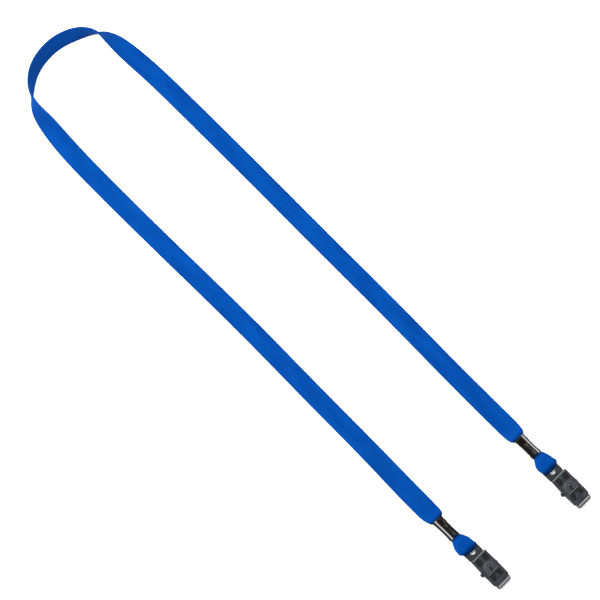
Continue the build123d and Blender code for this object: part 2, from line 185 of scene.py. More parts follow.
# --- Pressed pattern on the lever's top, from its thumb end ----------------------------------------
PRESS_DEPTH = 0.22
RIB_WIDTH = 0.4
PRESS_EDGE = 0.16        # how far the press rounds the pattern's edges
OPEN_BELOW = -9          # low limit of a band that has none
THUMB_BEAD = (0.1, 0.82)
THUMB_BEAD_HALF = 5.35
REAR_PANEL = (1.5, 6.0)
REAR_PANEL_HALF = 4.3
WAIST = (1.5, 0.5)       # half width of the raised hourglass at its ends and in its middle
ARCH_RADII = (3.5, 2.45, 1.4)
ARCH_MIDDLE = 10.0
ARCH_FOOT = 12.8
FIELD_DEPTH = 0.7        # of the arches' field, as a share of the panels'
BEAD_AT = 13.2
BEAD_HALF = 3.75
FRONT_PANEL = (13.7, 18.5)
FRONT_PANEL_HALF = 4.15
WEDGE = (14.4, 18.0, 2.0)  # its apex, its foot and half its width there
WEDGE_EDGE = 0.08


def link(obj):
    bpy.context.scene.collection.objects.link(obj)
    return obj


def make_camera():
    lean = radians(CAMERA_LEAN)
    back = Vector((sin(lean) * cos(LEAN_WAY), sin(lean) * sin(LEAN_WAY), cos(lean)))
    right = Vector((1, -1, 0))
    right = (right - right.dot(back) * back).normalized()
    data = bpy.data.cameras.new("camera")
    data.lens = CAMERA_LENS
    camera = link(bpy.data.objects.new("camera", data))
    turn = Matrix((right, back.cross(right), back)).transposed().to_4x4()
    camera.matrix_world = Matrix.Translation(CAMERA_TARGET + CAMERA_DISTANCE * back) @ turn
    bpy.context.scene.camera = camera


# --- Mesh helpers ---------------------------------------------------------------------------------


def smoothstep(low, high, value):
    share = min(1.0, max(0.0, (value - low) / (high - low)))
    return share * share * (3 - 2 * share)


def lerp(a, b, share):
    return a + (b - a) * share


def table_at(table, value):
    """The numbers beside a value in a table's rows, in a line between one row and the next."""
    if value <= table[0][0]:
        return table[0][1:]
    for low, high in zip(table, table[1:]):
        if value <= high[0]:
            share = (value - low[0]) / (high[0] - low[0])
            return tuple(lerp(a, b, share) for a, b in zip(low[1:], high[1:]))
    return table[-1][1:]


def ring_mesh(name, rings, along, fold_shade):
    """A closed tube through rings of equal size, capped at both ends, with a "weave" UV map in mm.

    along is each ring's distance along the piece, and a point's distance round its ring is the
    other coordinate. fold_shade is the painted shade of each ring in folds and mouths, from 0 to 1.
    """
    count = len(rings[0])
    verts = [point for ring in rings for point in ring]
    faces = []
    uvs = []
    for i in range(len(rings) - 1):
        girth = [0.0]
        for j in range(count):
            girth.append(girth[-1] + (rings[i][(j + 1) % count] - rings[i][j]).length)
        for j in range(count):
            k = (j + 1) % count
            faces.append((i * count + j, i * count + k, (i + 1) * count + k, (i + 1) * count + j))
            low, high = along[i] / MM, along[i + 1] / MM
            a, b = girth[j] / MM, girth[j + 1] / MM
            uvs += [(a, low), (b, low), (b, high), (a, high)]
    for ring, flip in ((0, True), (len(rings) - 1, False)):
        centre = sum(rings[ring], Vector()) / count
        verts.append(centre)
        hub = len(verts) - 1
        for j in range(count):
            a, b = ring * count + j, ring * count + (j + 1) % count
            faces.append((b, a, hub) if flip else (a, b, hub))
            uvs += [(0, 0), (1, 0), (1, 1)]
    mesh = bpy.data.meshes.new(name)
    mesh.from_pydata(verts, [], faces)
    layer = mesh.uv_layers.new(name="weave")
    for corner, uv in zip(layer.data, uvs):
        corner.uv = uv
    # the end caps get full painted shade
    fold_shade_values = [depth for depth in fold_shade for _ in range(count)] + [1.0, 1.0]
    mesh.attributes.new("fold_shade", "FLOAT", "POINT").data.foreach_set("value", fold_shade_values)
    mesh.shade_smooth()
    mesh.validate()
    return link(bpy.data.objects.new(name, mesh))


def grid_mesh(name, rows, wrap=False, values=None):
    """A mesh of quads through rows of points; wrap joins the last row to the first."""
    count = len(rows[0])
    verts = [point for row in rows for point in row]
    faces = []
    for i in range(len(rows) if wrap else len(rows) - 1):
        k = (i + 1) % len(rows)
        for j in range(count):
            m = (j + 1) % count
            faces.append((i * count + j, i * count + m, k * count + m, k * count + j))
    mesh = bpy.data.meshes.new(name)
    mesh.from_pydata(verts, [], faces)
    if values is not None:
        mark(mesh, values)
    return finished(name, mesh)


def mark(mesh, values):
    """Stores each point's finish value: -1 sunk, 0 plain, 1 raised, and above that a painted highlight; the
    crimps' highlight stripe and the clips' painted shade are stored here too.
    """
    layer = mesh.attributes.new("relief", "FLOAT", "POINT")
    layer.data.foreach_set("value", values)


def finished(name, mesh, sharp=40):
    mesh.validate()
    mesh.shade_smooth()
    mesh.set_sharp_from_angle(angle=radians(sharp))
    return link(bpy.data.objects.new(name, mesh))


def sheet_mesh(name, rows, thickness, values):
    """A bent metal sheet: rows of points on its outer face, and the inner face a thickness inside."""
    height, count = len(rows), len(rows[0])
    inner = []
    for i in range(height):
        row = []
        for j in range(count):
            down = rows[min(i + 1, height - 1)][j] - rows[max(i - 1, 0)][j]
            across = rows[i][min(j + 1, count - 1)] - rows[i][max(j - 1, 0)]
            row.append(rows[i][j] - thickness * across.cross(down).normalized())
        inner.append(row)
    verts = [p for row in rows for p in row] + [p for row in inner for p in row]
    total = height * count

    def at(i, j):
        return i * count + j

    faces = []
    for i in range(height - 1):
        for j in range(count - 1):
            quad = (at(i, j), at(i, j + 1), at(i + 1, j + 1), at(i + 1, j))
            faces.append(quad[::-1])
            faces.append(tuple(total + v for v in quad))
    border = [at(0, j) for j in range(count)]
    border += [at(i, count - 1) for i in range(1, height)]
    border += [at(height - 1, j) for j in range(count - 2, -1, -1)]
    border += [at(i, 0) for i in range(height - 2, 0, -1)]
    for a, b in zip(border, border[1:] + border[:1]):
        faces.append((a, b, total + b, total + a))
    mesh = bpy.data.meshes.new(name)
    mesh.from_pydata(verts, [], faces)
    # the inner face gets painted shade
    mark(mesh, list(values) + [PAINTED_SHADE] * total)
    return mesh


def curve_mesh(splines, **settings):
    """The mesh of a curve object with these splines of (points, cyclic) and settings."""
    data = bpy.data.curves.new("outline", "CURVE")
    for key, value in settings.items():
        setattr(data, key, value)
    for points, cyclic in splines:
        spline = data.splines.new("POLY")
        spline.points.add(len(points) - 1)
        for knot, point in zip(spline.points, points):
            knot.co = (*point, 1)
        spline.use_cyclic_u = cyclic
    obj = link(bpy.data.objects.new("outline", data))
    mesh = bpy.data.meshes.new_from_object(obj)
    bpy.data.objects.remove(obj)
    bpy.data.curves.remove(data)
    return mesh


def plate_mesh(outlines, thickness):
    """A flat plate with rounded edges: its outer outline, then the outlines of its holes."""
    loops = [([(x, y, 0) for x, y in outline], True) for outline in outlines]
    return curve_mesh(
        loops,
        dimensions="2D",
        fill_mode="BOTH",
        extrude=thickness / 2 - PLATE_EDGE,
        bevel_depth=PLATE_EDGE,
        bevel_resolution=2,
        offset=-PLATE_EDGE,
    )


def joined(name, meshes):
    """One object of several meshes."""
    verts = []
    faces = []
    for mesh in meshes:
        first = len(verts)
        verts += [vert.co.copy() for vert in mesh.vertices]
        faces += [tuple(first + v for v in face.vertices) for face in mesh.polygons]
        bpy.data.meshes.remove(mesh)
    whole = bpy.data.meshes.new(name)
    whole.from_pydata(verts, [], faces)
    mark(whole, [-0.35] * len(verts))
    return finished(name, whole, sharp=50)


def arc(x, y, radius, start, end, steps=6):
    """Points on an arc from one angle to another, in degrees."""
    turns = [radians(lerp(start, end, i / steps)) for i in range(steps + 1)]
    return [(x + radius * cos(turn), y + radius * sin(turn)) for turn in turns]


def clip_frame(x):
    """Where a clip's own frame lies, with millimetres turned into metres."""
    y = -HALF_SPAN + FRONT_ARM * cos(CLIP_TILT) - PIN_HEIGHT * sin(CLIP_TILT)
    z = FRONT_ARM * sin(CLIP_TILT) + PIN_HEIGHT * cos(CLIP_TILT)
    place = Matrix.Translation(Vector((x, y, z)) * MM) @ Matrix.Rotation(CLIP_TILT, 4, "X")
    return place @ Matrix.Scale(MM, 4)


# --- Strap ----------------------------------------------------------------------------------------


def lying_height(twist, width=STRAP_WIDTH, thickness=STRAP_THICKNESS):
    """Height of the strap's middle line when its lower edge rests on the surface."""
    turn = radians(twist)
    return width / 2 * sin(turn) + thickness / 2 * abs(cos(turn))


def nurbs_line(name, points):
    """Close-set points along one open NURBS spline with these control points."""
    data = bpy.data.curves.new(name, "CURVE")
    data.dimensions = "3D"
    data.resolution_u = 48
    spline = data.splines.new("NURBS")
    spline.points.add(len(points) - 1)
    for knot, point in zip(spline.points, points):
        knot.co = (*point, 1)
    spline.order_u = 3
    spline.use_endpoint_u = True
    obj = link(bpy.data.objects.new(name, data))
    mesh = bpy.data.meshes.new_from_object(obj)
    line = [vert.co.copy() for vert in mesh.vertices]
    bpy.data.meshes.remove(mesh)
    bpy.data.objects.remove(obj)
    bpy.data.curves.remove(data)
    return line


def strap_lines():
    """Points along the strap's middle and, beside each, one along its inner or upper edge."""
    middle = [Vector((x, y, lying_height(twist))) for x, y, twist in ROUTE]
    edge = []
    for i, (place, (_, _, twist)) in enumerate(zip(middle, ROUTE)):
        before, after = middle[max(0, i - 1)], middle[min(len(middle) - 1, i + 1)]
        along = Vector((after.x - before.x, after.y - before.y, 0)).normalized()
        inward = Vector((along.y, -along.x, 0))
        turn = radians(twist)
        edge.append(place + STRAP_WIDTH / 2 * (inward * cos(turn) + Vector((0, 0, sin(turn)))))
    return nurbs_line("strap_middle", middle), nurbs_line("strap_edge", edge)


def even_stations(middle, edge, step):
    """Places at even steps along the middle: distance, point, tangent and the way across."""
    walked = [0.0]
    for a, b in zip(middle, middle[1:]):
        walked.append(walked[-1] + (b - a).length)
    length = walked[-1]
    count = ceil(length / step)
    stations = []
    at = 0
    for i in range(count + 1):
        distance = length * i / count
        while at < len(walked) - 2 and walked[at + 1] < distance:
            at += 1
        share = (distance - walked[at]) / (walked[at + 1] - walked[at])
        point = lerp(middle[at], middle[at + 1], share)
        tangent = (middle[at + 1] - middle[at]).normalized()
        across = lerp(edge[at], edge[at + 1], share) - point
        across = (across - across.dot(tangent) * tangent).normalized()
        stations.append((distance, point, tangent, across))
    return stations, length


FLAT_TOP = 9             # points across each face of the strap's section
FLAT_EDGE = 3            # points round each edge
FLAT_HOLLOW = 0.1        # how much thinner its middle is, as a share


def flat_section(width, thickness):
    """The strap's flat section: two faces, a little fuller towards the rounded edges."""
    half = thickness / 2
    flat = width / 2 - half
    points = []
    for face in (1, -1):
        for i in range(FLAT_TOP):
            x = flat * (1 - 2 * i / (FLAT_TOP - 1))
            fullness = 1 - FLAT_HOLLOW * (1 - (x / flat) ** 2)
            points.append((face * x, face * half * fullness))
        for i in range(FLAT_EDGE):
            angle = pi / 2 + pi * (i + 1) / (FLAT_EDGE + 1)
            points.append((face * (half * cos(angle) - flat), face * half * sin(angle)))
    return points


SECTION = 2 * (FLAT_TOP + FLAT_EDGE)


def gathered_section(width, height, pleats=5, depth=0.06, count=SECTION):
    """The strap's section where it is gathered, with its pleats as a ripple round it."""
    points = []
    for i in range(count):
        angle = 2 * pi * (i + 0.5 - FLAT_TOP / 2 + SECTION / 4) / count
        ripple = 1 + depth * cos(pleats * angle)
        points.append((width / 2 * ripple * cos(angle), height / 2 * ripple * sin(angle)))
    return points


def blend_sections(a, b, share):
    return [(lerp(p[0], q[0], share), lerp(p[1], q[1], share)) for p, q in zip(a, b)]


def strap_width(distance, length):
    """The strap's width, a little fuller near its ends and narrowed at its crimps, and the gather."""
    from_end = min(distance, length - distance)
    fuller = FULLER[0] if distance < length / 2 else FULLER[1]
    full = STRAP_WIDTH + fuller * exp(-((from_end - FULLEST_AT) / FULLER_SPREAD) ** 2)
    missing = table_at(NARROWING, from_end / MM)[0] * MM
    return full - missing, smoothstep(0.15, 1.0, 1 - from_end / SHOULDER)


def make_strap():
    middle, edge = strap_lines()
    stations, length = even_stations(middle, edge, STATION)
    rings = []
    along = []

    def add_tucked(station, way, steps):
        distance, point, tangent, across = station
        section = gathered_section(BORE_WIDTH, MOUTH_HEIGHT * 0.95)
        for i in steps:
            shift = way * (i - 1 + TUCK_START) * MM
            at = Vector((point.x, point.y, CRIMP_HEIGHT / 2 * MM)) + tangent * shift
            rings.append([at + across * x + Vector((0, 0, z)) for x, z in section])
            along.append(distance + shift)

    add_tucked(stations[0], -1, range(TUCKED, 0, -1))
    for distance, point, tangent, across in stations:
        up = across.cross(tangent)
        width, gather = strap_width(distance, length)
        flat = flat_section(width, STRAP_THICKNESS)
        section = blend_sections(flat, gathered_section(width, MOUTH_HEIGHT), gather)
        lowest = min(point.z + across.z * x + up.z * z for x, z in section)
        rest = lerp(FLOOR_GAP, CRIMP_HEIGHT / 2 - MOUTH_HEIGHT / MM / 2, gather) * MM
        at = point + Vector((0, 0, rest - lowest))
        rings.append([at + across * x + up * z for x, z in section])
        along.append(distance)
    add_tucked(stations[-1], 1, range(1, TUCKED + 1))
    # painted shade on the strap where it runs into its crimps
    fold_shade = [1 - smoothstep(-0.2, 2.5, min(at, length - at) / MM) for at in along]
    strap = ring_mesh("woven_strap", rings, along, fold_shade)
    path = [point for _, point, _, _ in stations]
    return strap, path


# --- End loops ------------------------------------------------------------------------------------

# One strand over the clip's tail, through its slot and back under it: y and z of its middle, its
# width, its thickness and the depth of its pleats.
LOOP_PATH = [
    (15.6, 3.55, 5.5, 1.7, 0.10),
    (13.6, 3.60, 5.7, 1.9, 0.12),
    (12.6, 3.66, 6.1, 2.0, 0.14),
    (11.2, 3.74, 7.7, 2.1, 0.13),
    (9.5, 3.80, 9.6, 2.2, 0.10),
    (7.6, 3.82, 11.4, 2.2, 0.06),
    (5.6, 3.76, 12.1, 2.1, 0.04),
    (3.8, 3.60, 12.3, 2.0, 0.04),
    (2.5, 3.36, 11.9, 1.9, 0.05),
    (1.25, 2.95, 10.2, 1.8, 0.07),
    (0.55, 2.35, 6.8, 1.6, 0.09),
    (0.35, 1.70, 4.1, 1.4, 0.10),
    (0.80, 1.00, 4.6, 1.2, 0.09),
    (2.1, 0.66, 6.8, 1.0, 0.06),
    (3.6, 0.62, 8.6, 1.0, 0.05),
    (6.0, 0.72, 9.4, 1.1, 0.05),
    (9.0, 0.95, 8.2, 1.3, 0.08),
    (11.6, 1.28, 6.6, 1.6, 0.12),
    (13.6, 1.50, 5.7, 1.8, 0.12),
    (15.6, 1.55, 5.5, 1.7, 0.10),
]
# how far each loop leans towards -X where it is widest
LOOP_SWAY = {"left": 0.1, "right": 0.75}
LOOP_IN_SLOT = 11        # the path's row in the slot
LOOP_STEPS = 5           # rings between the points of the path
LOOP_ROUND = 56          # points round each ring


def smooth_row(rows, at):
    """A row at a fractional place along a table, on a Catmull-Rom spline through its rows."""
    i = min(int(at), len(rows) - 2)
    t = at - i
    four = [rows[min(max(k, 0), len(rows) - 1)] for k in range(i - 1, i + 3)]
    weights = (
        -0.5 * t + t * t - 0.5 * t**3,
        1 - 2.5 * t * t + 1.5 * t**3,
        0.5 * t + 2 * t * t - 1.5 * t**3,
        -0.5 * t * t + 0.5 * t**3,
    )
    return [sum(w * row[k] for w, row in zip(weights, four)) for k in range(len(rows[0]))]


def make_end_loop(side, crimp_x, clip_x):
    count = (len(LOOP_PATH) - 1) * LOOP_STEPS
    line = [smooth_row(LOOP_PATH, i / LOOP_STEPS) for i in range(count + 1)]
    rings = []
    along = [0.0]
    for i, (y, z, width, thickness, pleat) in enumerate(line):
        before, after = line[max(0, i - 1)], line[min(count, i + 1)]
        tangent = Vector((0, after[0] - before[0], after[1] - before[1])).normalized()
        up = Vector((1, 0, 0)).cross(tangent)
        x = lerp(clip_x, crimp_x, smoothstep(0.8, 3.2, y))
        x -= LOOP_SWAY[side] * smoothstep(2.0, 6.0, y) * (1 - smoothstep(8.0, 12.5, y))
        ring = []
        for px, pz in gathered_section(width, thickness, 7, pleat, LOOP_ROUND):
            # the sides are fuller than an ellipse's
            fullness = 1 + 0.12 * (1 - (2 * px / width) ** 2) * abs(2 * px / width)
            ring.append((Vector((x + px, y, z)) + up * pz * fullness) * MM)
        rings.append(ring)
        if i:
            along.append(along[-1] + hypot(y - line[i - 1][0], z - line[i - 1][1]) * MM)
    slot = LOOP_IN_SLOT * LOOP_STEPS
    # painted shade on the loop where it runs into its crimp and where it dives into the slot
    fold_shade = []
    for i, row in enumerate(line):
        crimp_mouth_shade = smoothstep(10.8, 12.9, row[0])
        slot_shade = 1 - smoothstep(0.8, 4.2, row[0]) if i <= slot else 1.0
        fold_shade.append(max(crimp_mouth_shade, slot_shade))
    return ring_mesh(f"{side}_woven_loop", rings, along, fold_shade)


# --- Crimps ---------------------------------------------------------------------------------------


def ridge_angle(outer):
    """Where round the crimp its flat upper edge is, on the lanyard's outer side."""
    return radians(90 - outer * RIDGE_OFF)


def crimp_ring(x, y, grow, outer):
    """A section of the crimp: a squarish oval with a broader flat on the lanyard's outer side."""
    points = []
    half_width = CRIMP_WIDTH / 2 + grow
    half_height = CRIMP_HEIGHT / 2 + grow
    power = 2 / CRIMP_SQUARENESS
    for i in range(CRIMP_ROUND):
        angle = 2 * pi * i / CRIMP_ROUND
        c, s = cos(angle), sin(angle)
        px = half_width * abs(c) ** power * (1 if c > 0 else -1)
        pz = half_height * abs(s) ** power * (1 if s > 0 else -1)
        shrink = 1 - RIDGE_DEPTH * max(0.0, cos(angle - ridge_angle(outer))) ** 6
        points.append(Vector((x + px * shrink, y, CRIMP_HEIGHT / 2 + pz * shrink)) * MM)
    return points


def make_crimp(side, x, outer):
    mouth = CRIMP_FRONT_Y + CRIMP_LENGTH
    # from the mouth: distance and how far the outside stands above the plain tube
    outside = [
        (0.0, -CRIMP_RIM),
        (0.08, -CRIMP_RIM * 0.45),
        (CRIMP_RIM, 0.0),
        (0.9, 0.0),
        (1.3, -0.1),
        (CRIMP_STEP - 0.3, -0.1),
        (CRIMP_STEP, -0.26),
        (CRIMP_STEP + 0.35, -0.3),
        (CRIMP_STEP + 0.7, -0.22),
        (8.5, -0.25),
        (11.5, -0.25),
        (13.2, -0.12),
        (14.0, -0.04),
        (14.5, 0.0),
        (CRIMP_LENGTH - CRIMP_RIM, 0.0),
        (CRIMP_LENGTH - 0.08, -CRIMP_RIM * 0.45),
        (CRIMP_LENGTH, -CRIMP_RIM),
    ]
    rings = []
    for distance, grow in outside:
        rings.append(crimp_ring(x, mouth - distance, grow, outer))
    for distance in (CRIMP_LENGTH - 0.1, CRIMP_LENGTH - 1, 1, 0.1):
        rings.append(crimp_ring(x, mouth - distance, -CRIMP_WALL, outer))
    # a painted highlight along the flat on the crimp's outer upper edge
    turns = [2 * pi * i / CRIMP_ROUND - ridge_angle(outer) for i in range(CRIMP_ROUND)]
    ridge_highlight = [smoothstep(0.975, 0.995, cos(turn)) for turn in turns]
    values = ridge_highlight * len(outside) + [0.0] * (4 * CRIMP_ROUND)
    return grid_mesh(f"{side}_pressed_crimp", rings, wrap=True, values=values)


# --- Clips ----------------------------------------------------------------------------------------


def notch_at(x, width, first):
    """Depth of the teeth's notches at a place across a jaw."""
    pitch = width / (TOOTH_COUNT + 0.5)
    depth = 0.0
    for i in range(TOOTH_COUNT):
        off = abs(x + width / 2 - (i + first) * pitch)
        depth = max(depth, TOOTH_DEPTH * (1 - off / (pitch / 4)))
    return depth


def base_outline():
    nose, body, tail = BASE_NOSE_WIDTH / 2, BASE_WIDTH / 2, TAIL_WIDTH / 2
    right = [(nose, -FRONT_ARM), (nose, BASE_STEP_Y - 0.3), (body, BASE_STEP_Y + 0.1)]
    right += [(body, TAIL_START - 0.1), (tail, TAIL_START + 0.5)]
    right += arc(tail - TAIL_CORNER, TAIL_REACH - TAIL_CORNER, TAIL_CORNER, 0, 90)
    return right + [(-x, y) for x, y in reversed(right)]


def slot_outline():
    middle = TAIL_REACH - TAIL_BAR - SLOT_LENGTH / 2
    end = SLOT_LENGTH / 2 - SLOT_WIDTH / 2
    outline = arc(0, middle + end, SLOT_WIDTH / 2, 0, 180, 14)
    return outline + arc(0, middle - end, SLOT_WIDTH / 2, 180, 360, 14)


def make_base(side, frame_at):
    plate = plate_mesh([base_outline(), slot_outline()], BASE_SHEET)
    plate.transform(Matrix.Translation((0, 0, BASE_SHEET / 2 - PIN_HEIGHT)))
    parts = [plate]
    upright = Matrix(((0, 0, 1, 0), (1, 0, 0, 0), (0, 1, 0, 0), (0, 0, 0, 1)))
    foot = BASE_SHEET - PIN_HEIGHT - BASE_SHEET / 2
    ear = [(-EAR_FOOT / 2, foot), (EAR_FOOT / 2, foot)] + arc(0, 0, EAR_RADIUS, 10, 170, 16)
    hole = arc(0, 0, PIN_RADIUS + 0.02, 0, 345, 23)
    for way in (-1, 1):
        flank = plate_mesh([ear, hole], BASE_SHEET)
        flank.transform(Matrix.Translation((way * (BASE_WIDTH - BASE_SHEET) / 2, 0, 0)) @ upright)
        parts.append(flank)
    top = -FRONT_ARM * sin(LEVER_SLOPE) + (LEVER_TOP - NOSE_DROP) * cos(LEVER_SLOPE) - JAW_GAP
    half = BASE_NOSE_WIDTH / 2
    steps = 48
    edge = [lerp(half, -half, i / steps) for i in range(steps + 1)]
    lip = [(-half, -PIN_HEIGHT), (half, -PIN_HEIGHT)]
    lip += [(x, top - notch_at(x, BASE_NOSE_WIDTH, 0.5)) for x in edge]
    front = plate_mesh([lip], BASE_SHEET)
    stand = Matrix(((1, 0, 0, 0), (0, 0, -1, -FRONT_ARM + BASE_SHEET / 2), (0, 1, 0, 0), (0, 0, 0, 1)))
    front.transform(stand)
    parts.append(front)
    base = joined(f"{side}_base", parts)
    base.data.transform(frame_at)
    return base


def band(value, low, high):
    """1 inside a band, 0 outside it, rounded at its edges as a press leaves them."""
    half = PRESS_EDGE / 2
    return smoothstep(low - half, low + half, value) * (1 - smoothstep(high - half, high + half, value))


def relief_at(x, distance):
    """The pressed pattern at a place on the lever's top: -1 sunk, 0 plain, 1 raised."""
    x = abs(x)
    low, high = REAR_PANEL
    off = abs(distance - (low + high) / 2) / ((high - low) / 2)
    waist = lerp(WAIST[1], WAIST[0], min(1.0, off))
    sunk = band(distance, low, high) * band(x, waist, REAR_PANEL_HALF)
    low, high = FRONT_PANEL
    apex, foot, half = WEDGE
    open_half = half * min(1.0, max(0.0, (distance - apex) / (foot - apex)))
    wedge = band(distance, apex, foot) * (1 - smoothstep(open_half - WEDGE_EDGE, open_half + WEDGE_EDGE, x))
    sunk += band(distance, low, high) * band(x, OPEN_BELOW, FRONT_PANEL_HALF) * (1 - wedge)
    low, high = THUMB_BEAD
    raised = band(distance, low, high) * band(x, OPEN_BELOW, THUMB_BEAD_HALF)
    low, high = BEAD_AT - RIB_WIDTH / 2, BEAD_AT + RIB_WIDTH / 2
    raised += band(distance, low, high) * band(x, OPEN_BELOW, BEAD_HALF)
    out = hypot(x, distance - ARCH_MIDDLE) if distance < ARCH_MIDDLE else x
    ribs = sum(band(out, radius - RIB_WIDTH, radius) for radius in ARCH_RADII)
    field = band(out, OPEN_BELOW, ARCH_RADII[0]) * band(distance, 0, ARCH_FOOT)
    return raised - sunk + field * (ribs - FIELD_DEPTH * (1 - ribs))


def lever_profile():
    """The lever's outer middle line from the thumb end over the front bend: y, z and its finish value,
    which paints a highlight along the bend and shade down the front wall.
    """
    bend = -FRONT_ARM + NOSE_RAKE
    wall = Vector((-NOSE_RAKE, -NOSE_DROP))
    down = Vector((bend, LEVER_TOP)) + wall.normalized() * NOSE_BEND
    start = Vector((bend + NOSE_BEND, LEVER_TOP))
    corner = Vector((bend, LEVER_TOP))
    count = round((LEVER_REAR_ARM - start.x) / LEVER_STEP)
    line = []
    # along the top, a painted highlight just before the front bend
    for i in range(count + 1):
        y = lerp(LEVER_REAR_ARM, start.x, i / count)
        bend_highlight = 1.5 * smoothstep(count - 2, count, i)
        line.append((y, LEVER_TOP, bend_highlight))
    # round the bend, a painted highlight turning to painted shade
    for i in range(1, BEND_STEPS + 1):
        t = i / BEND_STEPS
        at = lerp(lerp(start, corner, t), lerp(corner, down, t), t)
        line.append((at.x, at.y, lerp(1.6, -1.0, smoothstep(0.4, 1.0, t))))
    end = Vector((-FRONT_ARM, LEVER_TOP - NOSE_DROP))
    # down the front wall, painted shade that lightens again at its lip
    for i in range(1, WALL_STEPS + 1):
        at = lerp(down, end, i / WALL_STEPS)
        line.append((at.x, at.y, smoothstep(WALL_STEPS - 3, WALL_STEPS, i) - 1.0))
    return line


def lever_row(y, top, painted_light, last):
    """Points across the lever: up one flange, over the top and down the other, with their finish values:
    painted shade on the flanges and round the upper corners, and along the top the pressed pattern and the
    profile's painted light.
    """
    low, high = SHOULDER_BAND
    narrowed = smoothstep(NOSE_START + low, NOSE_START + high, -y)
    half = lerp(LEVER_WIDTH / 2, NOSE_WIDTH / 2, narrowed)
    bottom = table_at(FLANGE, y)[0]
    corner = min(LEVER_CORNER, 0.5 * (top - bottom))
    points = []
    # painted shade up the flanges, lightening round the upper corners
    for i in range(FLANGE_POINTS):
        points.append((half, lerp(bottom, top - corner, i / FLANGE_POINTS), PAINTED_SHADE))
    for i in range(CORNER_STEPS + 1):
        turn = radians(90 * i / CORNER_STEPS)
        place = (half - corner + corner * cos(turn), top - corner + corner * sin(turn))
        points.append((*place, lerp(PAINTED_SHADE, 0.1, i / CORNER_STEPS)))
    for i in range(1, TOP_STEPS + 1):
        x = lerp(half - corner, 0, i / TOP_STEPS)
        points.append((x, top, painted_light))
    left = [(-x, z, value) for x, z, value in reversed(points[:-1])]
    row = []
    distance = LEVER_REAR_ARM - y
    for x, z, value in points + left:
        on_top = z == top
        relief = relief_at(x, distance) if on_top and top == LEVER_TOP else 0.0
        lift = PRESS_DEPTH * relief
        notch = notch_at(x, NOSE_WIDTH, 1.0) if last and on_top else 0.0
        row.append((Vector((x, y, z + lift + notch)), max(-1.0, value + relief) if on_top else value))
    return row


def make_lever(side, frame_at):
    profile = lever_profile()
    grid = []
    values = []
    for i, (y, z, painted_light) in enumerate(profile):
        row = lever_row(y, z, painted_light, i == len(profile) - 1)
        grid.append([point for point, _ in row])
        values += [value for _, value in row]
    mesh = sheet_mesh(f"{side}_lever", grid, LEVER_SHEET, values)
    mesh.transform(frame_at @ Matrix.Rotation(LEVER_SLOPE, 4, "X"))
    return finished(f"{side}_lever", mesh, sharp=50)


def make_pin(side, frame_at):
    """The rivet turned about its axis: x and radius along its outline."""
    outline = [(-PIN_END - out, radius) for out, radius in RIVET_HEAD]
    outline += [(-PIN_END, PIN_RADIUS), (PIN_END, PIN_RADIUS)]
    outline += [(PIN_END + out, radius) for out, radius in RIVET_TAIL]
    rings = []
    for x, radius in outline:
        rings.append([Vector((x, y, z)) for y, z in arc(0, 0, radius, 0, 352.5, 47)])
    pin = grid_mesh(f"{side}_rivet", rings, values=[0.0] * (48 * len(outline)))
    pin.data.transform(frame_at)
    return pin


def make_spring(side, frame_at):
    """The wire of the torsion spring: a leg on the base, the coil and a leg under the lever."""
    below = PIN_HEIGHT - BASE_SHEET - SPRING_WIRE - SPRING_GAPS[0] - COIL_RADIUS
    lever_rise = SPRING_LEG * sin(LEVER_SLOPE)
    above = LEVER_TOP - LEVER_SHEET + lever_rise - SPRING_WIRE - SPRING_GAPS[1] - COIL_RADIUS
    low, high = atan2(below, SPRING_LEG), atan2(above, SPRING_LEG)
    turns = SPRING_TURNS * 2 * pi + pi - low - high
    width = SPRING_PITCH * turns / (2 * pi)
    wire = []
    for i in range(COIL_STEPS + 1):
        angle = -pi / 2 - low - turns * i / COIL_STEPS
        x = width * (i / COIL_STEPS - 0.5)
        wire.append((x, COIL_RADIUS * cos(angle), COIL_RADIUS * sin(angle)))
    foot = Vector(wire[0]) + SPRING_LEG * Vector((0, cos(low), -sin(low)))
    tip = Vector(wire[-1]) + SPRING_LEG * Vector((0, cos(high), sin(high)))
    path = [tuple(foot)] + wire + [tuple(tip)]
    mesh = curve_mesh(
        [(path, False)], dimensions="3D", bevel_depth=SPRING_WIRE, bevel_resolution=3, use_fill_caps=True
    )
    mesh.transform(frame_at)
    return finished(f"{side}_spring", mesh)


# --- Materials ------------------------------------------------------------------------------------


